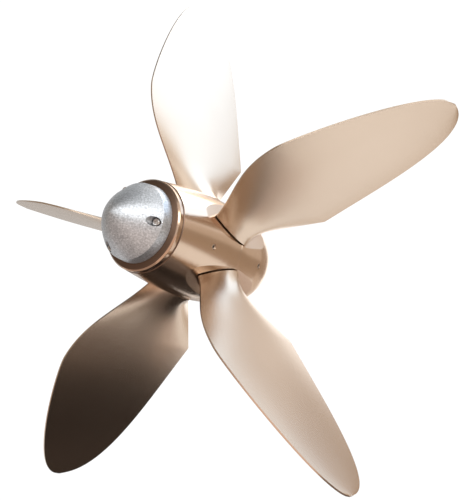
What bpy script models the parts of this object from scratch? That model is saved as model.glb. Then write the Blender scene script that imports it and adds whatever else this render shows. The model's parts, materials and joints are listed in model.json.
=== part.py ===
"""Five-blade feathering ship propeller with a zinc nose anode.

The shaft axis is Y, with the nose towards -Y, and blade 1 points up, along +Z.
The origin is on the shaft axis, at the centre of the face where the shaft enters.
Places along the shaft are given as "aft": metres from the plane of the blade
spindles towards the nose, so y = -SPINDLE_PLANE - aft. The blades are feathered.
"""
import math

import bmesh
import bpy
from mathutils import Matrix, Vector

# Driving dimensions, in metres
TIP_RADIUS = 0.420
BLADE_COUNT = 5
SPINDLE_PLANE = 0.115
TOUCH_GAP = 0.0003

# Hub: a barrel in two halves that meet at the spindles
HUB_RADIUS = 0.0805
HUB_AFT_END = 0.1240
HUB_AFT_RADIUS = 0.0668
HUB_AFT_POWER = 1.6
HUB_FORWARD_END = 0.113
HUB_RIM_RADIUS = 0.0560
HUB_RIM_CHAMFER = 0.002
HUB_BORE_RADIUS = 0.036
HUB_END_WALL = 0.0135
HUB_AFT_STEPS = 5
HUB_FORWARD_STEPS = 6
SEAT_HEIGHT = 0.0738
SEAT_BLOCK_HALF = 0.16
SEAT_BLOCK_TOP = 0.12
ROUND_SIDES = 60

# Blade outline: each edge is two curves that meet at a corner
ROOT_HEIGHT = SEAT_HEIGHT + 0.001
AFT_ROOT = 0.0565
AFT_CORNER = (0.1315, 0.218)
AFT_CORNER_PULL = (0.061, 0.025)
FORWARD_ROOT = 0.0370
FORWARD_CORNER = (0.1155, 0.1675)
FORWARD_CORNER_PULL = (0.055, 0.105)
FORWARD_CORNER_TILT = 0.2065
ROOT_PULL = 0.060
TIP_AFT = 0.0125
TIP_PULL = (0.062, 0.100)

# Blade thickness, as half of it
EDGE_HALF = 0.0012
TIP_HALF = 0.0020
BODY_HALF = 0.0070
FLARE_HALF = 0.0220
FLARE_FADE = 0.024
TAPER_POWER = 1.2
SECTION_POWER = 2.2
AFT_FULLNESS = -0.6
FORWARD_FULLNESS = -0.9
ROOT_CREST = -0.006
BLADE_ROWS = 18
BLADE_STEPS = 6

# Blade spindle, held between the hub halves
NECK_RADIUS = 0.022
FLANGE_RADIUS = 0.029
FLANGE_TOP = 0.062
FLANGE_BOTTOM = 0.044
SPINDLE_GAP = 0.0004
SPINDLE_INTO_BLADE = 0.006
SPINDLE_SIDES = 30

# Drive boss, with a tapered bore and a keyway for the shaft
BOSS_LENGTH = 0.112
BORE_RADIUS = 0.025
BORE_TAPER = 0.05
KEYWAY_WIDTH = 0.014
KEYWAY_DEPTH = 0.005

# Anode ring and nose anode
RING_RADIUS = 0.0660
RING_LIP = (0.1310, 0.1337, 0.0632)
RING_FACE = (0.1358, 0.0560)
RING_BORE_RADIUS = 0.030
ANODE_BACK = RING_FACE[0] + TOUCH_GAP
ANODE_BACK_RADIUS = 0.0557
ANODE_SKIRT_END = 0.1510
ANODE_RADIUS = 0.0540
NOSE_TIP = 0.1963
NOSE_POINT = 0.3
NOSE_STEPS = 7

# Screws: head radius, head height, shank radius, socket across its flats
ANODE_SCREW = (0.0050, 0.0060, 0.0030, 0.0050)
ANODE_SCREW_COUNT = 3
ANODE_SCREW_CIRCLE = 0.0465
ANODE_SCREW_SEAT = 0.1503
ANODE_SCREW_REACH = 0.0350
ANODE_RECESS_RADIUS = 0.0065
ANODE_SCREW_TURN = math.radians(103)
HUB_SCREW = (0.0065, 0.0080, 0.0040, 0.0060)
HUB_SCREW_CIRCLE = 0.0475
HUB_SCREW_SINK = 0.0095
HUB_SCREW_PAST_SPLIT = 0.020
HUB_RECESS_RADIUS = 0.0071
LOCK_SCREW_RADIUS = 0.0037
LOCK_SCREW_LENGTH = 0.012
LOCK_SCREW_SOCKET = 0.0040
LOCK_SCREW_SINK = 0.0008
LOCK_SCREW_TURN = math.radians(108)
RECESS_TOP = 0.05
LOCK_SCREW_AFT = {"aft_lock_screw": 0.061, "forward_lock_screw": -0.060}
SCREW_SIDES = 16
SCREW_BEVEL = 0.08
SOCKET_DEPTH = 0.004
OVERCUT = 0.001


def start_empty():
    for item in list(bpy.data.objects):
        bpy.data.objects.remove(item, do_unlink=True)


def make_material(name, colour, roughness, metallic):
    material = bpy.data.materials.new(name)
    material.use_nodes = True
    shader = material.node_tree.nodes["Principled BSDF"]
    shader.inputs["Base Color"].default_value = (*colour, 1)
    shader.inputs["Roughness"].default_value = roughness
    shader.inputs["Metallic"].default_value = metallic
    return material


def add_object(name, mesh, material=None):
    item = bpy.data.objects.new(name, mesh)
    bpy.context.scene.collection.objects.link(item)
    if material is not None:
        mesh.materials.append(material)
        mesh.shade_smooth()
        mesh.set_sharp_from_angle(angle=math.radians(30))
    return item


def mesh_from(name, points, faces):
    work = bmesh.new()
    corners = [work.verts.new(point) for point in points]
    for face in faces:
        work.faces.new([corners[index] for index in face])
    bmesh.ops.recalc_face_normals(work, faces=work.faces)
    mesh = bpy.data.meshes.new(name)
    work.to_mesh(mesh)
    work.free()
    return mesh


def turned_mesh(name, profile, sides):
    """A closed profile of (along, radius) points turned about Z; along runs up Z."""
    points = []
    rings = []
    for along, radius in profile:
        if radius == 0:
            rings.append([len(points)] * sides)
            points.append((0, 0, along))
            continue
        rings.append(list(range(len(points), len(points) + sides)))
        for step in range(sides):
            turn = 2 * math.pi * step / sides
            points.append((radius * math.cos(turn), radius * math.sin(turn), along))
    faces = []
    for first, second in zip(rings, rings[1:] + rings[:1]):
        for step in range(sides):
            after = (step + 1) % sides
            face = [first[step], first[after], second[after], second[step]]
            face = list(dict.fromkeys(face))
            if len(face) > 2:
                faces.append(face)
    return mesh_from(name, points, faces)


def along_shaft(aft=0.0):
    """Turns local Z to the nose, -Y, and puts local zero at a place along the shaft."""
    return Matrix.Translation((0, -SPINDLE_PLANE - aft, 0)) @ Matrix.Rotation(math.pi / 2, 4, "X")


def about_shaft(turn):
    """Turns from blade 1, which is up, towards +X."""
    return Matrix.Rotation(turn, 4, "Y")


def blade_turn(index):
    return 2 * math.pi * index / BLADE_COUNT


def cut(target, cutter, operation="DIFFERENCE"):
    cutter.display_type = "WIRE"
    cutter.hide_render = True
    modifier = target.modifiers.new(cutter.name, "BOOLEAN")
    modifier.object = cutter
    modifier.operation = operation
    modifier.solver = "EXACT"


def rod_mesh(name, radius, bottom, top, sides=SCREW_SIDES):
    return turned_mesh(name, [(bottom, 0), (bottom, radius), (top, radius), (top, 0)], sides)


def bore_out(targets, name, mesh, place):
    """The same cutter takes its share of each piece that it passes through."""
    for target in targets:
        cutter = add_object(f"{name}_in_{target.name}", mesh)
        cutter.matrix_world = place
        cut(target, cutter)


def screw_hole_mesh(name, recess_radius, shank_radius, shank_length):
    """A round recess above zero for the head, and a hole below it for the shank."""
    hole_radius = shank_radius + TOUCH_GAP
    bottom = -shank_length - 2 * TOUCH_GAP
    profile = [
        (bottom, 0),
        (bottom, hole_radius),
        (0, hole_radius),
        (0, recess_radius),
        (RECESS_TOP, recess_radius),
        (RECESS_TOP, 0),
    ]
    return turned_mesh(name, profile, SCREW_SIDES)


def barrel_radius(aft):
    """The hub swells gently from its aft end and rounds off like an ellipse forward."""
    if aft > 0:
        return HUB_RADIUS - (HUB_RADIUS - HUB_AFT_RADIUS) * (aft / HUB_AFT_END) ** HUB_AFT_POWER
    share = min(1, -aft / HUB_FORWARD_END)
    return HUB_RIM_RADIUS + (HUB_RADIUS - HUB_RIM_RADIUS) * math.sqrt(1 - share ** 2)


def make_hub_aft(material):
    start = TOUCH_GAP / 2
    steps = HUB_AFT_STEPS
    outer = [start + (HUB_AFT_END - start) * step / steps for step in range(steps + 1)]
    profile = [(aft, barrel_radius(aft)) for aft in outer]
    wall = HUB_AFT_END - HUB_END_WALL
    profile += [(HUB_AFT_END, 0), (wall, 0), (wall, HUB_BORE_RADIUS), (start, HUB_BORE_RADIUS)]
    hub = add_object("hub_aft_half", turned_mesh("hub_aft_half", profile, ROUND_SIDES), material)
    hub.matrix_world = along_shaft()
    return hub


def make_hub_forward(material):
    start = -TOUCH_GAP / 2
    steps = HUB_FORWARD_STEPS
    profile = []
    for step in range(steps + 1):
        aft = start - (HUB_FORWARD_END - HUB_RIM_CHAMFER + start) * math.sin(math.pi / 2 * step / steps)
        profile.append((aft, barrel_radius(aft)))
    rim = HUB_RIM_RADIUS - HUB_RIM_CHAMFER
    profile += [(-HUB_FORWARD_END, rim), (-HUB_FORWARD_END, HUB_BORE_RADIUS), (start, HUB_BORE_RADIUS)]
    hub = add_object("hub_forward_half", turned_mesh("hub_forward_half", profile, ROUND_SIDES), material)
    hub.matrix_world = along_shaft()
    return hub


def spindle_profile(gap, top):
    return [
        (FLANGE_BOTTOM - gap, 0),
        (FLANGE_BOTTOM - gap, FLANGE_RADIUS + gap),
        (FLANGE_TOP + gap, FLANGE_RADIUS + gap),
        (FLANGE_TOP + gap, NECK_RADIUS + gap),
        (top, NECK_RADIUS + gap),
        (top, 0),
    ]


def cut_blade_seats(hub):
    """Each blade has a flat seat on the hub and a stepped round pocket for its spindle."""
    pocket_mesh = turned_mesh("pocket", spindle_profile(SPINDLE_GAP, HUB_RADIUS), SPINDLE_SIDES)
    sides = (-SEAT_BLOCK_HALF, SEAT_BLOCK_HALF)
    seat_points = [(x, y, z) for x in sides for y in sides for z in (SEAT_HEIGHT, SEAT_BLOCK_TOP)]
    seat_faces = [(0, 1, 3, 2), (4, 6, 7, 5), (0, 4, 5, 1), (2, 3, 7, 6), (0, 2, 6, 4), (1, 5, 7, 3)]
    seat_mesh = mesh_from("seat", seat_points, seat_faces)
    for index in range(BLADE_COUNT):
        place = Matrix.Translation((0, -SPINDLE_PLANE, 0)) @ about_shaft(blade_turn(index))
        for kind, mesh in (("seat", seat_mesh), ("pocket", pocket_mesh)):
            cutter = add_object(f"cut_{hub.name}_{kind}_{index + 1}", mesh)
            cutter.matrix_world = place
            cut(hub, cutter)


def bezier(points, share):
    rest = 1 - share
    weights = (rest ** 3, 3 * rest ** 2 * share, 3 * rest * share ** 2, share ** 3)
    return sum((Vector(point) * weight for point, weight in zip(points, weights)), Vector((0, 0)))


def edge_curves(root, corner, corner_pull, corner_tilt, tip, tip_pull):
    """The two curves of an edge, as (width, height) points, below and above its corner."""
    low = Vector((root, ROOT_HEIGHT))
    corner = Vector(corner)
    flare = (corner - low).normalized()
    upward = Vector((-math.sin(corner_tilt), math.cos(corner_tilt)))
    below = upward if corner_tilt == 0 else flare
    lower = (low, low + ROOT_PULL * flare, corner - corner_pull[0] * below, corner)
    top = Vector((tip, TIP_RADIUS))
    upper = (corner, corner + corner_pull[1] * upward, top + Vector((tip_pull, 0)), top)
    return lower, upper


AFT_EDGE = edge_curves(AFT_ROOT, AFT_CORNER, AFT_CORNER_PULL, 0, TIP_AFT, TIP_PULL[0])
FORWARD_EDGE = edge_curves(
    FORWARD_ROOT, FORWARD_CORNER, FORWARD_CORNER_PULL, FORWARD_CORNER_TILT, -TIP_AFT, TIP_PULL[1]
)


def edge_width(curves, height):
    """Halving search for the place on the edge at a height."""
    curve = curves[0] if height < curves[0][-1][1] else curves[1]
    low, high = 0.0, 1.0
    for _ in range(40):
        middle = (low + high) / 2
        if bezier(curve, middle)[1] < height:
            low = middle
        else:
            high = middle
    return bezier(curve, (low + high) / 2)[0]


def half_thickness(height):
    """Thins evenly to the tip, with a flare that fades above the root."""
    share = (height - ROOT_HEIGHT) / (TIP_RADIUS - ROOT_HEIGHT)
    flare = FLARE_HALF * math.exp(-(height - ROOT_HEIGHT) / FLARE_FADE)
    return TIP_HALF + BODY_HALF * (1 - share) ** TAPER_POWER + flare


def blade_row(height):
    """The section at one height: half of it on the +X side, then the other half back."""
    aft = edge_width(AFT_EDGE, height)
    forward = -edge_width(FORWARD_EDGE, height)
    share = (height - ROOT_HEIGHT) / (TIP_RADIUS - ROOT_HEIGHT)
    near_root = math.exp(-(height - ROOT_HEIGHT) / FLARE_FADE)
    crest = ROOT_CREST * near_root + (aft + forward) / 2 * min(1, 2 * share)
    half = half_thickness(height) - EDGE_HALF
    side = []
    for step in range(2 * BLADE_STEPS + 1):
        reach = math.cos(math.pi / 2 * step / BLADE_STEPS)
        along = crest + (aft - crest if reach > 0 else crest - forward) * reach
        fullness = SECTION_POWER + (AFT_FULLNESS if reach > 0 else FORWARD_FULLNESS) * near_root
        side.append((along, EDGE_HALF + half * (1 - abs(reach) ** fullness)))
    near = [(thick, -along, height) for along, thick in side]
    far = [(-thick, -along, height) for along, thick in reversed(side)]
    return near + far


def blade_mesh():
    points = []
    rows = []
    for row in range(BLADE_ROWS):
        share = (1 - math.cos(math.pi * row / BLADE_ROWS)) / 2
        section = blade_row(ROOT_HEIGHT + (TIP_RADIUS - ROOT_HEIGHT) * share)
        rows.append(list(range(len(points), len(points) + len(section))))
        points += section
    faces = [rows[0]]
    count = len(rows[0])
    for low, high in zip(rows, rows[1:]):
        for step in range(count):
            after = (step + 1) % count
            faces.append((low[step], low[after], high[after], high[step]))
    near_tip = len(points)
    far_tip = near_tip + 1
    points += [(EDGE_HALF, -TIP_AFT, TIP_RADIUS), (-EDGE_HALF, -TIP_AFT, TIP_RADIUS)]
    last = rows[-1]
    half = count // 2
    for step in range(half - 1):
        faces.append((last[step], last[step + 1], near_tip))
        faces.append((last[half + step], last[half + step + 1], far_tip))
    faces.append((last[half - 1], last[half], far_tip, near_tip))
    faces.append((last[-1], last[0], near_tip, far_tip))
    return mesh_from("blade", points, faces)


def make_blades(material):
    mesh = blade_mesh()
    spindle_mesh = turned_mesh("spindle", spindle_profile(0, ROOT_HEIGHT + SPINDLE_INTO_BLADE), SPINDLE_SIDES)
    for index in range(BLADE_COUNT):
        place = Matrix.Translation((0, -SPINDLE_PLANE, 0)) @ about_shaft(blade_turn(index))
        blade = add_object(f"blade_{index + 1}", mesh.copy(), material)
        blade.matrix_world = place
        spindle = add_object(f"spindle_{index + 1}", spindle_mesh)
        spindle.matrix_world = place
        cut(blade, spindle, "UNION")


def make_drive_boss(material):
    front = SPINDLE_PLANE
    back = front - BOSS_LENGTH
    small = BORE_RADIUS - BORE_TAPER * BOSS_LENGTH
    outer = HUB_BORE_RADIUS - TOUCH_GAP
    profile = [(-back, outer), (-front, outer), (-front, BORE_RADIUS), (-back, small)]
    boss = add_object("drive_boss", turned_mesh("drive_boss", profile, ROUND_SIDES), material)
    boss.matrix_world = along_shaft()
    work = bmesh.new()
    bmesh.ops.create_cube(work, size=1)
    depth = BORE_RADIUS + KEYWAY_DEPTH
    bmesh.ops.scale(work, vec=(KEYWAY_WIDTH, 3 * BOSS_LENGTH, depth), verts=work.verts)
    bmesh.ops.translate(work, vec=(0, 0, depth / 2), verts=work.verts)
    mesh = bpy.data.meshes.new("keyway")
    work.to_mesh(mesh)
    work.free()
    keyway = add_object("keyway", mesh)
    cut(boss, keyway)


def make_anode_ring(material):
    back = HUB_AFT_END + TOUCH_GAP
    lip_start, lip_end, lip_radius = RING_LIP
    face_end, face_radius = RING_FACE
    profile = [
        (back, RING_BORE_RADIUS),
        (back, RING_RADIUS),
        (lip_start, RING_RADIUS),
        ((lip_start + lip_end) / 2, (2 * RING_RADIUS + lip_radius) / 3),
        (lip_end, lip_radius),
        (face_end, face_radius),
        (face_end, RING_BORE_RADIUS),
    ]
    ring = add_object("anode_ring", turned_mesh("anode_ring", profile, ROUND_SIDES), material)
    ring.matrix_world = along_shaft()
    return ring


def make_nose_anode(material):
    profile = [(ANODE_BACK, 0), (ANODE_BACK, ANODE_BACK_RADIUS), (ANODE_SKIRT_END, ANODE_RADIUS)]
    for step in range(1, NOSE_STEPS + 1):
        share = math.cos(math.pi / 2 * step / NOSE_STEPS) if step < NOSE_STEPS else 0
        fall = NOSE_POINT * share + (1 - NOSE_POINT) * share ** 2
        profile.append((NOSE_TIP - (NOSE_TIP - ANODE_SKIRT_END) * fall, ANODE_RADIUS * share))
    anode = add_object("nose_anode", turned_mesh("nose_anode", profile, ROUND_SIDES), material)
    anode.matrix_world = along_shaft()
    return anode


def hexagon_mesh(name, flats, bottom, top):
    return rod_mesh(name, flats / math.sqrt(3), bottom, top, 6)


def cap_screw(name, sizes, shank_length, place, material):
    """A socket head screw along local Z: its head starts at zero and its shank runs down."""
    head_radius, head_height, shank_radius, flats = sizes
    bevel = SCREW_BEVEL * head_radius
    profile = [
        (-shank_length, 0),
        (-shank_length, shank_radius),
        (0, shank_radius),
        (0, head_radius),
        (head_height - bevel, head_radius),
        (head_height, head_radius - bevel),
        (head_height, 0),
    ]
    screw = add_object(name, turned_mesh(name, profile, SCREW_SIDES), material)
    screw.matrix_world = place
    socket = hexagon_mesh(f"{name}_socket", flats, head_height / 2, head_height + OVERCUT)
    cutter = add_object(f"{name}_socket", socket)
    cutter.matrix_world = place
    cut(screw, cutter)


def fit_anode_screws(anode, ring, hub, material):
    hole = screw_hole_mesh("anode_screw_hole", ANODE_RECESS_RADIUS, ANODE_SCREW[2], ANODE_SCREW_REACH)
    for index in range(ANODE_SCREW_COUNT):
        turn = ANODE_SCREW_TURN + 2 * math.pi * index / ANODE_SCREW_COUNT
        outwards = Matrix.Translation((0, 0, ANODE_SCREW_CIRCLE))
        place = about_shaft(turn) @ outwards @ along_shaft(ANODE_SCREW_SEAT)
        name = f"anode_screw_{index + 1}"
        bore_out((anode, ring, hub), f"{name}_hole", hole, place)
        lift = Matrix.Translation((0, 0, TOUCH_GAP))
        cap_screw(name, ANODE_SCREW, ANODE_SCREW_REACH, place @ lift, material)


def fit_hub_screws(forward, aft, material):
    """The halves are drawn together by screws from the shaft end, between the blades."""
    seat = -HUB_FORWARD_END + HUB_SCREW_SINK
    reach = -seat + HUB_SCREW_PAST_SPLIT
    hole = screw_hole_mesh("hub_screw_hole", HUB_RECESS_RADIUS, HUB_SCREW[2], reach)
    for index in range(BLADE_COUNT):
        turn = blade_turn(index + 0.5)
        facing = along_shaft(seat) @ Matrix.Rotation(math.pi, 4, "X")
        place = about_shaft(turn) @ Matrix.Translation((0, 0, HUB_SCREW_CIRCLE)) @ facing
        name = f"hub_screw_{index + 1}"
        bore_out((forward, aft), f"{name}_hole", hole, place)
        lift = Matrix.Translation((0, 0, TOUCH_GAP))
        cap_screw(name, HUB_SCREW, reach, place @ lift, material)


def fit_lock_screws(halves, material):
    """One headless screw in each half, sunk a little below the barrel."""
    for (name, aft), hub in zip(LOCK_SCREW_AFT.items(), halves):
        top = barrel_radius(aft) - LOCK_SCREW_SINK
        bottom = top - LOCK_SCREW_LENGTH
        place = Matrix.Translation((0, -SPINDLE_PLANE - aft, 0)) @ about_shaft(LOCK_SCREW_TURN)
        hole = rod_mesh(f"{name}_hole", LOCK_SCREW_RADIUS + TOUCH_GAP, bottom - TOUCH_GAP, HUB_RADIUS)
        bore_out((hub,), f"{name}_hole", hole, place)
        screw = add_object(name, rod_mesh(name, LOCK_SCREW_RADIUS, bottom, top), material)
        screw.matrix_world = place
        socket_mesh = hexagon_mesh(f"{name}_socket", LOCK_SCREW_SOCKET, top - SOCKET_DEPTH, top + OVERCUT)
        socket = add_object(f"{name}_socket", socket_mesh)
        socket.matrix_world = place
        cut(screw, socket)


def main():
    start_empty()
    bronze = make_material("bronze", (0.62, 0.43, 0.30), 0.28, 1.0)
    ring_bronze = make_material("ring_bronze", (0.40, 0.26, 0.18), 0.40, 1.0)
    zinc = make_material("zinc", (0.55, 0.56, 0.58), 0.55, 0.8)
    steel = make_material("steel", (0.60, 0.60, 0.60), 0.30, 1.0)
    aft = make_hub_aft(bronze)
    forward = make_hub_forward(bronze)
    for hub in (aft, forward):
        cut_blade_seats(hub)
    make_blades(bronze)
    make_drive_boss(bronze)
    ring = make_anode_ring(ring_bronze)
    anode = make_nose_anode(zinc)
    fit_anode_screws(anode, ring, aft, steel)
    fit_hub_screws(forward, aft, steel)
    fit_lock_screws((aft, forward), steel)


main()
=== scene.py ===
"""The looks of a feathering ship propeller: polished bronze, bare zinc and stainless screws.

Places along the shaft are given as "aft": metres from the plane of the blade spindles
towards the nose, so y = -SPINDLE_PLANE - aft. Lengths are metres.
"""
import json
import math

import bmesh
import bpy
from mathutils import Matrix, Vector


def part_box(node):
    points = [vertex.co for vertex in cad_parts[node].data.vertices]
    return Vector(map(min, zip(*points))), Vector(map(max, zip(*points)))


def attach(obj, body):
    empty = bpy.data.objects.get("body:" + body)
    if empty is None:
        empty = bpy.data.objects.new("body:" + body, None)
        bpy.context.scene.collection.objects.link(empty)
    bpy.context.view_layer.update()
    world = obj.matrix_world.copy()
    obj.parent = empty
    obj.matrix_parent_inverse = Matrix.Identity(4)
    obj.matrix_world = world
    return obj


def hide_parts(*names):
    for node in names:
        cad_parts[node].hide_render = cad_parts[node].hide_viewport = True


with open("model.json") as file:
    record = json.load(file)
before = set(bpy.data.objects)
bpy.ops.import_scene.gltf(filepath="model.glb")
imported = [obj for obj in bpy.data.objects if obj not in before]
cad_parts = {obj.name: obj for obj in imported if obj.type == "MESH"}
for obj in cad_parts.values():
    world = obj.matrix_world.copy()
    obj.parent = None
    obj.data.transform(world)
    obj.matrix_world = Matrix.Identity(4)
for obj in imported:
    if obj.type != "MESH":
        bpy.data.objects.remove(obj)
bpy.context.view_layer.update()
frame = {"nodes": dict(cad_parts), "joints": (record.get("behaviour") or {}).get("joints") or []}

# The frame's own sizes
SPINDLE_PLANE = -frame["joints"][0]["pos_m"][1]
BLADE_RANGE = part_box("blade_1")
TIP_RADIUS = BLADE_RANGE[1].z
BLADE_COUNT = len(frame["joints"])
NOSE_TIP = -SPINDLE_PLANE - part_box("nose_anode")[0].y
BOSS_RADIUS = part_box("drive_boss")[1].x

# Hub barrel
HUB_RADIUS = 0.0805
HUB_AFT_END = 0.1240
HUB_AFT_RADIUS = 0.0668
HUB_AFT_POWER = 1.6
HUB_ZONES = (0.0225, -0.0115, -0.061)
HUB_FORWARD_END = 0.113
HUB_RIM_RADIUS = 0.0560
HUB_RIM_CHAMFER = 0.002
HUB_BORE_RADIUS = BOSS_RADIUS + 0.0003
HUB_END_WALL = 0.0135
END_CHAMFER = 0.001
SEAT_HEIGHT = 0.0738
SPLIT_GAP = 0.0007
SPLIT_CHAMFER = 0.0004
ROUND_SIDES = 240

# Blade outline: each edge is two curves that meet at a corner
ROOT_HEIGHT = SEAT_HEIGHT + 0.0018
AFT_ROOT = 0.0565
AFT_CORNER = (0.1315, 0.218)
AFT_CORNER_PULL = (0.061, 0.025)
FORWARD_ROOT = 0.0370
FORWARD_CORNER = (0.1155, 0.1675)
FORWARD_CORNER_PULL = (0.055, 0.105)
FORWARD_CORNER_TILT = 0.2065
ROOT_PULL = 0.060
TIP_AFT = 0.0125
TIP_PULL = (0.062, 0.100)

# Blade thickness, as half of it
EDGE_HALF = 0.0012
TIP_HALF = 0.0020
BODY_HALF = 0.0070
FLARE_HALF = 0.0220
FLARE_FADE = 0.024
SECTION_POWER = 2.2
AFT_FULLNESS = -0.6
FORWARD_FULLNESS = -0.9
ROOT_CREST = -0.006
BLADE_ROWS = 90
BLADE_STEPS = 20

# Blade spindle
NECK_RADIUS = 0.022
FLANGE_RADIUS = 0.029
FLANGE_TOP = 0.062
FLANGE_BOTTOM = 0.044
SPINDLE_GAP = 0.0004
SPINDLE_SIDES = 64

# Anode ring and nose anode
RING_RADIUS = 0.0660
RING_LIP = (0.1310, 0.1337, 0.0632)
RING_FACE = (0.1358, 0.0560)
RING_BORE_RADIUS = 0.030
TOUCH_GAP = 0.0003
# Width of the dark band painted on the ring's back next to the hub: painted shade for a groove that is not modelled
PAINTED_GROOVE_BAND = 0.0009
ANODE_BACK = RING_FACE[0] + TOUCH_GAP
ANODE_BACK_RADIUS = 0.0557
ANODE_SKIRT_END = 0.1510
ANODE_RADIUS = 0.0540
NOSE_POINT = 0.3

# Screws: head radius, head height, shank radius, socket across its flats
ANODE_SCREW = (0.0050, 0.0060, 0.0030, 0.0050)
ANODE_SCREW_COUNT = 3
ANODE_SCREW_CIRCLE = 0.0465
ANODE_SCREW_SEAT = 0.1503
ANODE_SCREW_REACH = 0.0350
ANODE_RECESS_RADIUS = 0.0065
ANODE_SCREW_TURN = math.radians(103)
HUB_SCREW = (0.0065, 0.0080, 0.0040, 0.0060)
HUB_SCREW_CIRCLE = 0.0475
HUB_SCREW_SINK = 0.0095
HUB_SCREW_PAST_SPLIT = 0.020
HUB_RECESS_RADIUS = 0.0071
LOCK_SCREW_RADIUS = 0.0037
LOCK_SCREW_SINK = 0.0014
LOCK_SCREW_LENGTH = 0.012
LOCK_SCREW_SOCKET = 0.0040
LOCK_SCREW_TURN = math.radians(108)
LOCK_SCREW_AFT = {"aft_lock_screw": 0.061, "forward_lock_screw": -0.060}
RECESS_TOP = 0.05
SCREW_SIDES = 48

# Camera, from the fit to the blade outlines
CAMERA_AT = (0.5632, -0.8768, -0.2668)
CAMERA_AZIMUTH = 32.87
CAMERA_ELEVATION = -15.66
CAMERA_ROLL = 1.42
CAMERA_LENS = 45.98

# Studio: cards are panels that only reflections see, each with its turn from +Y towards +X,
# its lift above the horizon, its colour and its strength
HUB_CENTRE = Vector((0, -SPINDLE_PLANE, 0))
FLOOR_HEIGHT = -0.80
FLOOR_HALF = 30
FLOOR_WHITE = (0.98, 0.98, 0.98)
WORLD_STRENGTH = 1.06
KEY_POWER = 12
WHITE = (1.0, 1.0, 1.0)
DAYLIGHT = (0.64, 0.80, 1.0)
WARM = (1.0, 0.86, 0.73)
BROWN = (1.0, 0.77, 0.58)
CARDS = [
    ("left_window", (-25, 0), (-5, 25), WHITE, 1.7, 5.0),
    ("brown_gap", (0, 20), (3, 25), BROWN, 0.50, 6.0),
    ("near_tan_wall", (20, 36), (3, 20), WARM, 0.76, 6.0),
    ("tan_wall", (36, 70), (3, 16), WARM, 0.74, 6.0),
    ("pale_wall", (36, 70), (16, 25), WHITE, 1.25, 6.0),
    ("right_window", (70, 110), (3, 25), WHITE, 1.3, 6.0),
    ("near_pane", (22, 36), (20, 38), DAYLIGHT, 2.5, 6.0),
    ("low_pane", (36, 60), (25, 38), DAYLIGHT, 2.8, 6.0),
    ("high_pane", (8, 60), (38, 58), DAYLIGHT, 2.6, 6.0),
    ("left_wall", (-25, 20), (25, 38), WARM, 0.78, 6.0),
    ("high_left_wall", (-25, 8), (38, 58), WARM, 1.25, 6.0),
    ("right_wall", (60, 130), (25, 58), WHITE, 1.1, 6.0),
    ("overhead", (-60, 130), (58, 90), WHITE, 1.5, 6.0),
    ("high_front", (130, 300), (45, 90), WHITE, 0.22, 6.0),
    ("far_left", (-90, -25), (-19, 58), WHITE, 0.62, 2.3),
    ("camera_window", (110, 175), (8, 27), WHITE, 5.0, 2.4),
    ("front_right", (130, 180), (-19, 8), WHITE, 0.9, 2.3),
    ("front_high", (130, 180), (27, 45), WHITE, 0.9, 2.3),
    ("front_left", (180, 270), (-19, 45), WARM, 0.40, 2.3),
    ("horizon", (0, 130), (-8, 3), BROWN, 0.47, 2.3),
    ("low_right", (20, 130), (-24, -8), BROWN, 0.50, 1.9),
    ("low_left", (-25, 20), (-19, -8), WARM, 0.80, 2.3),
]

# Dark table tops below the object: their sides along X, their sides along Y and their strength
TABLE_HEIGHT = -0.50
TABLE_COLOUR = (1.0, 0.80, 0.70)
TABLES = [
    ((-0.50, -0.15), (-0.25, 0.70), 0.05),
    ((-0.15, 0.02), (-0.25, 0.70), 0.03),
    ((0.02, 0.15), (-0.25, 0.40), 0.14),
    ((0.15, 0.30), (-0.25, 0.20), 0.20),
    ((0.02, 0.15), (0.40, 0.70), 0.65),
    ((0.30, 0.60), (-0.25, 0.00), 0.56),
    ((-1.60, 0.00), (-1.70, -0.25), 0.55),
    ((0.00, 1.60), (-1.70, -0.25), 1.00),
]


def mesh_from(name, points, faces):
    work = bmesh.new()
    corners = [work.verts.new(point) for point in points]
    for face in faces:
        work.faces.new([corners[index] for index in face])
    bmesh.ops.recalc_face_normals(work, faces=work.faces)
    mesh = bpy.data.meshes.new(name)
    work.to_mesh(mesh)
    work.free()
    return mesh


def turned_mesh(name, profile, sides):
    """A closed profile of (along, radius) points turned about Z; along runs up Z."""
    points = []
    rings = []
    for along, radius in profile:
        if radius == 0:
            rings.append([len(points)] * sides)
            points.append((0, 0, along))
            continue
        rings.append(list(range(len(points), len(points) + sides)))
        for step in range(sides):
            turn = 2 * math.pi * step / sides
            points.append((radius * math.cos(turn), radius * math.sin(turn), along))
    faces = []
    for first, second in zip(rings, rings[1:] + rings[:1]):
        for step in range(sides):
            after = (step + 1) % sides
            face = [first[step], first[after], second[after], second[step]]
            face = list(dict.fromkeys(face))
            if len(face) > 2:
                faces.append(face)
    return mesh_from(name, points, faces)


def rounded(corners, radius, steps=6):
    """A profile with each inner corner replaced by a short arc-like curve."""
    result = []
    for index, corner in enumerate(corners):
        if index in (0, len(corners) - 1):
            result.append(tuple(corner))
            continue
        here = Vector(corner)
        before = Vector(corners[index - 1]) - here
        after = Vector(corners[index + 1]) - here
        reach = min(radius, before.length / 2, after.length / 2)
        start = here + before.normalized() * reach
        end = here + after.normalized() * reach
        for step in range(steps + 1):
            share = step / steps
            point = start * (1 - share) ** 2 + here * 2 * share * (1 - share) + end * share ** 2
            result.append(tuple(point))
    return result


def add_object(name, mesh):
    item = bpy.data.objects.new(name, mesh)
    bpy.context.scene.collection.objects.link(item)
    return item


def along_shaft(aft=0.0):
    """Turns local Z to the nose, -Y, and puts local zero at a place along the shaft."""
    return Matrix.Translation((0, -SPINDLE_PLANE - aft, 0)) @ Matrix.Rotation(math.pi / 2, 4, "X")


def about_shaft(turn):
    """Turns from blade 1, which is up, towards +X."""
    return Matrix.Rotation(turn, 4, "Y")


def blade_place(index):
    turn = 2 * math.pi * index / BLADE_COUNT
    return Matrix.Translation((0, -SPINDLE_PLANE, 0)) @ about_shaft(turn)


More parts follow.
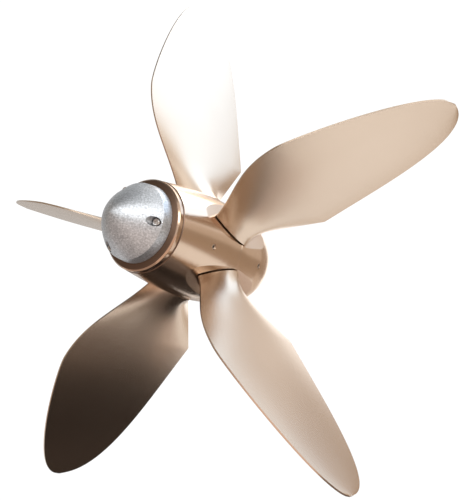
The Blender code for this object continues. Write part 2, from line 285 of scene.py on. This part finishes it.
def cut(target, mesh, place, operation="DIFFERENCE"):
    """Applies one Boolean at once and removes its cutter."""
    cutter = add_object("cutter", mesh)
    cutter.matrix_world = place
    modifier = target.modifiers.new("cut", "BOOLEAN")
    modifier.object = cutter
    modifier.operation = operation
    modifier.solver = "EXACT"
    bpy.context.view_layer.update()
    shaped = bpy.data.meshes.new_from_object(target.evaluated_get(bpy.context.evaluated_depsgraph_get()))
    target.modifiers.clear()
    target.data = shaped
    bpy.data.objects.remove(cutter)


def dress(piece, material, body, nodes, sharp=8.0):
    piece.data.materials.clear()
    piece.data.materials.append(material)
    piece.data.shade_smooth()
    piece.data.set_sharp_from_angle(angle=math.radians(sharp))
    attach(piece, body)
    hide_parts(*nodes)


def rod_mesh(name, radius, bottom, top, sides=SCREW_SIDES):
    return turned_mesh(name, [(bottom, 0), (bottom, radius), (top, radius), (top, 0)], sides)


def screw_hole_mesh(recess_radius, shank_radius, shank_length):
    """A round recess above zero for the head, and a hole below it for the shank."""
    hole_radius = shank_radius + TOUCH_GAP
    bottom = -shank_length - 2 * TOUCH_GAP
    profile = [
        (bottom, 0),
        (bottom, hole_radius),
        (0, hole_radius),
        (0, recess_radius),
        (RECESS_TOP, recess_radius),
        (RECESS_TOP, 0),
    ]
    return turned_mesh("screw_hole", profile, SCREW_SIDES)


# Hub


def swept_radius(aft):
    """The hub swells gently from its aft end and rounds off like an ellipse forward."""
    if aft > 0:
        return HUB_RADIUS - (HUB_RADIUS - HUB_AFT_RADIUS) * (aft / HUB_AFT_END) ** HUB_AFT_POWER
    share = min(1, -aft / HUB_FORWARD_END)
    return HUB_RIM_RADIUS + (HUB_RADIUS - HUB_RIM_RADIUS) * math.sqrt(1 - share ** 2)


def barrel_radius(aft):
    """The swept radius, but turned straight between the zone ends."""
    for start, end in zip(HUB_ZONES, HUB_ZONES[1:]):
        if end < aft < start:
            share = (start - aft) / (start - end)
            return swept_radius(start) * (1 - share) + swept_radius(end) * share
    return swept_radius(aft)


def hub_aft_profile():
    start = SPLIT_GAP / 2
    steps = 48
    profile = [(start, barrel_radius(0) - SPLIT_CHAMFER)]
    for step in range(steps + 1):
        aft = start + SPLIT_CHAMFER + (HUB_AFT_END - END_CHAMFER - start - SPLIT_CHAMFER) * step / steps
        profile.append((aft, barrel_radius(aft)))
    profile.append((HUB_AFT_END, barrel_radius(HUB_AFT_END) - END_CHAMFER))
    wall = HUB_AFT_END - HUB_END_WALL
    return profile + [(HUB_AFT_END, 0), (wall, 0), (wall, HUB_BORE_RADIUS), (start, HUB_BORE_RADIUS)]


def hub_forward_profile():
    start = -SPLIT_GAP / 2
    steps = 48
    profile = [(start, barrel_radius(0) - SPLIT_CHAMFER)]
    reach = HUB_FORWARD_END - HUB_RIM_CHAMFER + start - SPLIT_CHAMFER
    for step in range(steps + 1):
        aft = start - SPLIT_CHAMFER - reach * math.sin(math.pi / 2 * step / steps)
        profile.append((aft, barrel_radius(aft)))
    rim = HUB_RIM_RADIUS - HUB_RIM_CHAMFER
    end = [(-HUB_FORWARD_END, rim), (-HUB_FORWARD_END, HUB_BORE_RADIUS), (start, HUB_BORE_RADIUS)]
    return profile + end


def spindle_profile(gap, top):
    return [
        (FLANGE_BOTTOM - gap, 0),
        (FLANGE_BOTTOM - gap, FLANGE_RADIUS + gap),
        (FLANGE_TOP + gap, FLANGE_RADIUS + gap),
        (FLANGE_TOP + gap, NECK_RADIUS + gap),
        (top, NECK_RADIUS + gap),
        (top, 0),
    ]


def block_mesh(low, high):
    points = [(x, y, z) for x in (low[0], high[0]) for y in (low[1], high[1]) for z in (low[2], high[2])]
    faces = [(0, 1, 3, 2), (4, 6, 7, 5), (0, 4, 5, 1), (2, 3, 7, 6), (0, 2, 6, 4), (1, 5, 7, 3)]
    return mesh_from("block", points, faces)


def make_hub_half(name, profile):
    hub = add_object(f"{name}_shell", turned_mesh(name, profile, ROUND_SIDES))
    hub.matrix_world = along_shaft()
    for index in range(BLADE_COUNT):
        cut(hub, block_mesh((-0.16, -0.16, SEAT_HEIGHT), (0.16, 0.16, 0.12)), blade_place(index))
        pocket = turned_mesh("pocket", spindle_profile(SPINDLE_GAP, HUB_RADIUS), SPINDLE_SIDES)
        cut(hub, pocket, blade_place(index))
    return hub


# Blades


def bezier(points, share):
    rest = 1 - share
    weights = (rest ** 3, 3 * rest ** 2 * share, 3 * rest * share ** 2, share ** 3)
    return sum((Vector(point) * weight for point, weight in zip(points, weights)), Vector((0, 0)))


def edge_curves(root, corner, corner_pull, corner_tilt, tip, tip_pull):
    """The two curves of an edge, as (width, height) points, below and above its corner."""
    low = Vector((root, ROOT_HEIGHT))
    corner = Vector(corner)
    flare = (corner - low).normalized()
    upward = Vector((-math.sin(corner_tilt), math.cos(corner_tilt)))
    below = upward if corner_tilt == 0 else flare
    lower = (low, low + ROOT_PULL * flare, corner - corner_pull[0] * below, corner)
    top = Vector((tip, TIP_RADIUS))
    upper = (corner, corner + corner_pull[1] * upward, top + Vector((tip_pull, 0)), top)
    return lower, upper


AFT_EDGE = edge_curves(AFT_ROOT, AFT_CORNER, AFT_CORNER_PULL, 0, TIP_AFT, TIP_PULL[0])
FORWARD_EDGE = edge_curves(
    FORWARD_ROOT, FORWARD_CORNER, FORWARD_CORNER_PULL, FORWARD_CORNER_TILT, -TIP_AFT, TIP_PULL[1]
)


def edge_width(curves, height):
    """Halving search for the place on the edge at a height."""
    curve = curves[0] if height < curves[0][-1][1] else curves[1]
    low, high = 0.0, 1.0
    for _ in range(40):
        middle = (low + high) / 2
        if bezier(curve, middle)[1] < height:
            low = middle
        else:
            high = middle
    return bezier(curve, (low + high) / 2)[0]


def half_thickness(height):
    """Thins evenly to the tip, with a flare that fades above the root."""
    share = (height - ROOT_HEIGHT) / (TIP_RADIUS - ROOT_HEIGHT)
    flare = FLARE_HALF * math.exp(-(height - ROOT_HEIGHT) / FLARE_FADE)
    return TIP_HALF + BODY_HALF * (1 - share) ** 1.2 + flare


def blade_row(height):
    """The section at one height: half of it on the +X side, then the other half back."""
    aft = edge_width(AFT_EDGE, height)
    forward = -edge_width(FORWARD_EDGE, height)
    share = (height - ROOT_HEIGHT) / (TIP_RADIUS - ROOT_HEIGHT)
    near_root = math.exp(-(height - ROOT_HEIGHT) / FLARE_FADE)
    crest = ROOT_CREST * near_root + (aft + forward) / 2 * min(1, 2 * share)
    half = half_thickness(height) - EDGE_HALF
    side = []
    for step in range(2 * BLADE_STEPS + 1):
        reach = math.cos(math.pi / 2 * step / BLADE_STEPS)
        along = crest + (aft - crest if reach > 0 else crest - forward) * reach
        fullness = SECTION_POWER + (AFT_FULLNESS if reach > 0 else FORWARD_FULLNESS) * near_root
        side.append((along, EDGE_HALF + half * (1 - abs(reach) ** fullness)))
    near = [(thick, -along, height) for along, thick in side]
    far = [(-thick, -along, height) for along, thick in reversed(side)]
    return near + far


def blade_mesh():
    points = []
    rows = []
    for row in range(BLADE_ROWS):
        share = (1 - math.cos(math.pi * row / BLADE_ROWS)) / 2
        section = blade_row(ROOT_HEIGHT + (TIP_RADIUS - ROOT_HEIGHT) * share)
        rows.append(list(range(len(points), len(points) + len(section))))
        points += section
    faces = [rows[0]]
    count = len(rows[0])
    for low, high in zip(rows, rows[1:]):
        for step in range(count):
            after = (step + 1) % count
            faces.append((low[step], low[after], high[after], high[step]))
    near_tip = len(points)
    far_tip = near_tip + 1
    points += [(EDGE_HALF, -TIP_AFT, TIP_RADIUS), (-EDGE_HALF, -TIP_AFT, TIP_RADIUS)]
    last = rows[-1]
    half = count // 2
    for step in range(half - 1):
        faces.append((last[step], last[step + 1], near_tip))
        faces.append((last[half + step], last[half + step + 1], far_tip))
    faces.append((last[half - 1], last[half], far_tip, near_tip))
    faces.append((last[-1], last[0], near_tip, far_tip))
    return mesh_from("blade", points, faces)


def make_blades(material):
    shape = blade_mesh()
    spindle = turned_mesh("spindle", spindle_profile(0, ROOT_HEIGHT + 0.006), SPINDLE_SIDES)
    whole = add_object("blade_shape", shape)
    cut(whole, spindle, Matrix.Identity(4), "UNION")
    for index in range(BLADE_COUNT):
        name = f"blade_{index + 1}"
        blade = add_object(f"{name}_skin", whole.data.copy())
        blade.matrix_world = blade_place(index)
        dress(blade, material, name, [name], sharp=30)
    bpy.data.objects.remove(whole)


# Anode ring, nose anode and screws


def make_anode_ring():
    back = HUB_AFT_END + TOUCH_GAP
    lip_start, lip_end, lip_radius = RING_LIP
    face_end, face_radius = RING_FACE
    outline = [
        (back, RING_BORE_RADIUS),
        (back, RING_RADIUS),
        (lip_start, RING_RADIUS),
        (lip_end, lip_radius),
        (face_end, face_radius),
        (face_end, RING_BORE_RADIUS),
    ]
    ring = add_object("anode_ring_skin", turned_mesh("ring", rounded(outline, 0.0010), ROUND_SIDES))
    ring.matrix_world = along_shaft()
    return ring


def two_tones(piece, material, is_second):
    """Gives a second material to the faces whose centre passes the test."""
    piece.data.materials.append(material)
    for face in piece.data.polygons:
        if is_second(face.center):
            face.material_index = 1


def make_nose_anode():
    outline = [(ANODE_BACK, 0), (ANODE_BACK, ANODE_BACK_RADIUS), (ANODE_SKIRT_END, ANODE_RADIUS)]
    steps = 48
    for step in range(1, steps + 1):
        share = math.cos(math.pi / 2 * step / steps) if step < steps else 0
        fall = NOSE_POINT * share + (1 - NOSE_POINT) * share ** 2
        outline.append((NOSE_TIP - (NOSE_TIP - ANODE_SKIRT_END) * fall, ANODE_RADIUS * share))
    anode = add_object("nose_anode_skin", turned_mesh("anode", outline, ROUND_SIDES))
    anode.matrix_world = along_shaft()
    return anode


def cap_screw(name, sizes, shank_length, place):
    """A socket head screw along local Z: its head starts at zero and its shank runs down."""
    head_radius, head_height, shank_radius, flats = sizes
    bevel = 0.10 * head_radius
    outline = [
        (-shank_length, 0),
        (-shank_length, shank_radius),
        (0, shank_radius),
        (0, head_radius),
        (head_height, head_radius),
        (head_height, 0),
    ]
    profile = outline[:3] + rounded(outline[3:], bevel, 4)
    screw = add_object(f"{name}_skin", turned_mesh(name, profile, SCREW_SIDES))
    screw.matrix_world = place
    socket = rod_mesh("socket", flats / math.sqrt(3), head_height / 2, head_height + 0.001, 6)
    cut(screw, socket, place)
    return screw


# The ring's face and a thin band at its back, next to the hub, get painted shade and a painted dark reflection
def gets_painted_ring_shade(centre):
    return centre.z > RING_LIP[1] - 0.0004 or centre.z < HUB_AFT_END + TOUCH_GAP + PAINTED_GROOVE_BAND


def make_anode_group(hub_aft, materials):
    ring = make_anode_ring()
    anode = make_nose_anode()
    hole = screw_hole_mesh(ANODE_RECESS_RADIUS, ANODE_SCREW[2], ANODE_SCREW_REACH)
    for index in range(ANODE_SCREW_COUNT):
        turn = ANODE_SCREW_TURN + 2 * math.pi * index / ANODE_SCREW_COUNT
        lift = Matrix.Translation((0, 0, ANODE_SCREW_CIRCLE))
        place = about_shaft(turn) @ lift @ along_shaft(ANODE_SCREW_SEAT)
        name = f"anode_screw_{index + 1}"
        for piece in (anode, ring, hub_aft):
            cut(piece, hole, place)
        screw = cap_screw(name, ANODE_SCREW, ANODE_SCREW_REACH, place @ Matrix.Translation((0, 0, TOUCH_GAP)))
        dress(screw, materials["steel"], "hub", [name], 30)
    dress(ring, materials["ring"], "hub", ["anode_ring"], 30)
    # Painted shade and a painted dark reflection on the ring's face and back
    two_tones(ring, materials["painted_shade_bronze"], gets_painted_ring_shade)
    dress(anode, materials["zinc"], "hub", ["nose_anode"], 20)


def make_hub_screws(forward, aft, materials):
    seat = -HUB_FORWARD_END + HUB_SCREW_SINK
    reach = -seat + HUB_SCREW_PAST_SPLIT
    hole = screw_hole_mesh(HUB_RECESS_RADIUS, HUB_SCREW[2], reach)
    for index in range(BLADE_COUNT):
        turn = 2 * math.pi * (index + 0.5) / BLADE_COUNT
        facing = along_shaft(seat) @ Matrix.Rotation(math.pi, 4, "X")
        place = about_shaft(turn) @ Matrix.Translation((0, 0, HUB_SCREW_CIRCLE)) @ facing
        name = f"hub_screw_{index + 1}"
        for piece in (forward, aft):
            cut(piece, hole, place)
        screw = cap_screw(name, HUB_SCREW, reach, place @ Matrix.Translation((0, 0, TOUCH_GAP)))
        dress(screw, materials["steel"], "hub", [name], 30)


def make_lock_screws(halves, materials):
    for (name, aft), hub in zip(LOCK_SCREW_AFT.items(), halves):
        top = barrel_radius(aft) - LOCK_SCREW_SINK
        bottom = top - LOCK_SCREW_LENGTH
        place = Matrix.Translation((0, -SPINDLE_PLANE - aft, 0)) @ about_shaft(LOCK_SCREW_TURN)
        cut(hub, rod_mesh("hole", LOCK_SCREW_RADIUS + TOUCH_GAP, bottom - TOUCH_GAP, HUB_RADIUS), place)
        screw = add_object(f"{name}_skin", rod_mesh(name, LOCK_SCREW_RADIUS, bottom, top))
        screw.matrix_world = place
        cut(screw, rod_mesh("socket", LOCK_SCREW_SOCKET / math.sqrt(3), top - 0.004, top + 0.001, 6), place)
        dress(screw, materials["steel"], "hub", [name], 30)


# Materials


def new_material(name):
    material = bpy.data.materials.new(name)
    material.use_nodes = True
    tree = material.node_tree
    shader = tree.nodes["Principled BSDF"]
    coords = tree.nodes.new("ShaderNodeTexCoord")
    return material, tree, shader, coords


def scaled_coords(tree, coords, scale):
    mapping = tree.nodes.new("ShaderNodeMapping")
    mapping.inputs["Scale"].default_value = scale
    tree.links.new(coords.outputs["Object"], mapping.inputs["Vector"])
    return mapping.outputs["Vector"]


def noise_node(tree, vector, scale, detail=4.0, roughness=0.55):
    node = tree.nodes.new("ShaderNodeTexNoise")
    node.inputs["Scale"].default_value = scale
    node.inputs["Detail"].default_value = detail
    node.inputs["Roughness"].default_value = roughness
    tree.links.new(vector, node.inputs["Vector"])
    return node.outputs["Fac"]


def ramp(tree, value, stops):
    node = tree.nodes.new("ShaderNodeValToRGB")
    while len(node.color_ramp.elements) < len(stops):
        node.color_ramp.elements.new(0.5)
    for element, (place, colour) in zip(node.color_ramp.elements, stops):
        element.position = place
        element.color = (*colour, 1)
    tree.links.new(value, node.inputs["Fac"])
    return node.outputs["Color"]


def spread(tree, value, low, high):
    node = tree.nodes.new("ShaderNodeMapRange")
    node.inputs["To Min"].default_value = low
    node.inputs["To Max"].default_value = high
    tree.links.new(value, node.inputs["Value"])
    return node.outputs["Result"]


def bump(tree, shader, height, distance, strength, after=None):
    node = tree.nodes.new("ShaderNodeBump")
    node.inputs["Distance"].default_value = distance
    node.inputs["Strength"].default_value = strength
    tree.links.new(height, node.inputs["Height"])
    if after is not None:
        tree.links.new(after, node.inputs["Normal"])
    tree.links.new(node.outputs["Normal"], shader.inputs["Normal"])
    return node.outputs["Normal"]


def bronze(name, tints, roughness, line_scale):
    """Polished bronze: soft clouds of tint, and fine polishing lines along one way."""
    material, tree, shader, coords = new_material(name)
    shader.inputs["Metallic"].default_value = 1.0
    plain = scaled_coords(tree, coords, (1, 1, 1))
    clouds = noise_node(tree, plain, 11.0, 2.0, 0.5)
    tree.links.new(ramp(tree, clouds, [(0.0, tints[0]), (1.0, tints[1])]), shader.inputs["Base Color"])
    if line_scale is None:
        shader.inputs["Roughness"].default_value = sum(roughness) / 2
        return material
    lines = noise_node(tree, scaled_coords(tree, coords, line_scale), 1.0, 2.0, 0.5)
    tree.links.new(spread(tree, lines, *roughness), shader.inputs["Roughness"])
    return material


def zinc():
    """Bare cast zinc: mottled grey with a fine grain and small pits."""
    material, tree, shader, coords = new_material("cast_zinc")
    shader.inputs["Metallic"].default_value = 0.9
    plain = scaled_coords(tree, coords, (1, 1, 1))
    mottle = noise_node(tree, plain, 420.0, 6.0, 0.7)
    stops = [(0.34, (0.34, 0.35, 0.37)), (0.50, (0.50, 0.52, 0.54)), (0.66, (0.72, 0.74, 0.77))]
    tree.links.new(ramp(tree, mottle, stops), shader.inputs["Base Color"])
    tree.links.new(spread(tree, mottle, 0.50, 0.34), shader.inputs["Roughness"])
    bump(tree, shader, mottle, 0.0008, 0.5)
    return material


def steel():
    material, tree, shader, coords = new_material("stainless_steel")
    shader.inputs["Metallic"].default_value = 1.0
    shader.inputs["Base Color"].default_value = (0.60, 0.56, 0.53, 1)
    lines = noise_node(tree, scaled_coords(tree, coords, (60, 60, 900)), 6.0, 3.0)
    tree.links.new(spread(tree, lines, 0.2, 0.4), shader.inputs["Roughness"])
    return material


def pale(name, colour, roughness):
    material, _tree, shader, _coords = new_material(name)
    shader.inputs["Base Color"].default_value = (*colour, 1)
    shader.inputs["Roughness"].default_value = roughness
    return material


# Studio


def make_camera():
    azimuth = math.radians(CAMERA_AZIMUTH)
    lift = math.radians(CAMERA_ELEVATION)
    back = Vector((math.sin(azimuth) * math.cos(lift), -math.cos(azimuth) * math.cos(lift), math.sin(lift)))
    camera = bpy.data.objects.new("camera", bpy.data.cameras.new("camera"))
    camera.data.lens = CAMERA_LENS
    camera.data.sensor_width = 36.0
    facing = (-back).to_track_quat("-Z", "Y").to_matrix().to_4x4()
    roll = Matrix.Rotation(math.radians(CAMERA_ROLL), 4, "Z")
    camera.matrix_world = Matrix.Translation(CAMERA_AT) @ facing @ roll
    bpy.context.scene.collection.objects.link(camera)
    bpy.context.scene.camera = camera


def make_floor():
    half = FLOOR_HALF
    corners = [(-half, -half, 0), (half, -half, 0), (half, half, 0), (-half, half, 0)]
    floor = add_object("floor", mesh_from("floor", corners, [(0, 1, 2, 3)]))
    floor.location.z = FLOOR_HEIGHT
    floor.data.materials.append(pale("floor", FLOOR_WHITE, 0.9))


def seen_from_hub(turn, lift):
    """A direction by its turn from +Y towards +X and its lift above the horizon, in degrees."""
    turn, lift = math.radians(turn), math.radians(lift)
    return Vector((math.sin(turn) * math.cos(lift), math.cos(turn) * math.cos(lift), math.sin(lift)))


def card(name, turns, lifts, colour, strength, distance):
    """A curved panel round the hub that only reflections see, between two turns and two lifts."""
    columns, rows = 12, 8
    points = []
    for row in range(rows + 1):
        for column in range(columns + 1):
            turn = turns[0] + (turns[1] - turns[0]) * column / columns
            lift = lifts[0] + (lifts[1] - lifts[0]) * row / rows
            points.append(HUB_CENTRE + distance * seen_from_hub(turn, lift))
    faces = []
    for row in range(rows):
        for column in range(columns):
            first = row * (columns + 1) + column
            faces.append((first, first + 1, first + columns + 2, first + columns + 1))
    panel = add_object(name, mesh_from(name, points, faces))
    panel.data.materials.append(glowing(name, colour, strength))
    only_reflected(panel)


def only_reflected(panel):
    panel.visible_camera = False
    panel.visible_diffuse = False
    panel.visible_shadow = False
    panel.visible_transmission = False
    panel.visible_volume_scatter = False


def glowing(name, colour, strength):
    material, _tree, shader, _coords = new_material(name)
    shader.inputs["Base Color"].default_value = (0, 0, 0, 1)
    shader.inputs["Specular IOR Level"].default_value = 0
    shader.inputs["Roughness"].default_value = 1
    shader.inputs["Emission Color"].default_value = (*colour, 1)
    shader.inputs["Emission Strength"].default_value = strength
    return material


def dark_table(name, sides_x, sides_y, strength):
    corners = [(x, y, TABLE_HEIGHT) for x, y in zip((*sides_x, *sides_x[::-1]), (sides_y[0],) * 2 + (sides_y[1],) * 2)]
    table = add_object(name, mesh_from(name, corners, [(0, 1, 2, 3)]))
    table.data.materials.append(glowing(name, TABLE_COLOUR, strength))
    only_reflected(table)


def softbox(name, at, size, power, colour=(1, 1, 1)):
    light = bpy.data.lights.new(name, "AREA")
    light.shape = "RECTANGLE"
    light.size, light.size_y = size
    light.energy = power
    light.color = colour
    box = bpy.data.objects.new(name, light)
    box.location = at
    box.rotation_mode = "QUATERNION"
    box.rotation_quaternion = (HUB_CENTRE - Vector(at)).to_track_quat("-Z", "Y")
    box.visible_camera = False
    bpy.context.scene.collection.objects.link(box)


def make_world():
    world = bpy.data.worlds.new("studio")
    world.use_nodes = True
    background = world.node_tree.nodes["Background"]
    background.inputs["Color"].default_value = (1, 1, 1, 1)
    background.inputs["Strength"].default_value = WORLD_STRENGTH
    bpy.context.scene.world = world


def make_studio():
    bpy.context.scene.view_settings.view_transform = "Standard"
    make_camera()
    make_world()
    make_floor()
    for index, (sides_x, sides_y, strength) in enumerate(TABLES):
        dark_table(f"dark_table_{index + 1}", sides_x, sides_y, strength)
    for panel in CARDS:
        card(*panel)
    softbox("key", (0.5, 0.9, 2.0), (1.4, 1.0), KEY_POWER)


def main():
    materials = {
        "hub": bronze("hub_bronze", ((0.61, 0.455, 0.34), (0.67, 0.515, 0.395)), (0.18, 0.24), (4, 4, 500)),
        "blade": bronze("blade_bronze", ((0.62, 0.49, 0.38), (0.68, 0.545, 0.43)), (0.26, 0.28), None),
        "ring": bronze("ring_bronze", ((0.50, 0.35, 0.25), (0.56, 0.40, 0.29)), (0.12, 0.20), (4, 4, 500)),
        # A dark copy of the bronze, not a bronze of its own: painted shade and a painted dark reflection
        "painted_shade_bronze": bronze("painted_shade_bronze", ((0.15, 0.095, 0.065), (0.19, 0.12, 0.085)), (0.35, 0.50), (4, 4, 500)),
        "zinc": zinc(),
        "steel": steel(),
    }
    aft = make_hub_half("hub_aft_half", hub_aft_profile())
    forward = make_hub_half("hub_forward_half", hub_forward_profile())
    make_anode_group(aft, materials)
    make_hub_screws(forward, aft, materials)
    make_lock_screws((aft, forward), materials)
    dress(aft, materials["hub"], "hub", ["hub_aft_half"])
    # The hub's aft end chamfer next to the ring gets painted shade, a dark line at the joint
    two_tones(aft, materials["painted_shade_bronze"], lambda centre: centre.z > HUB_AFT_END - END_CHAMFER)
    dress(forward, materials["hub"], "hub", ["hub_forward_half"])
    make_blades(materials["blade"])
    boss = frame["nodes"]["drive_boss"]
    boss.data.materials.clear()
    boss.data.materials.append(materials["hub"])
    make_studio()


main()
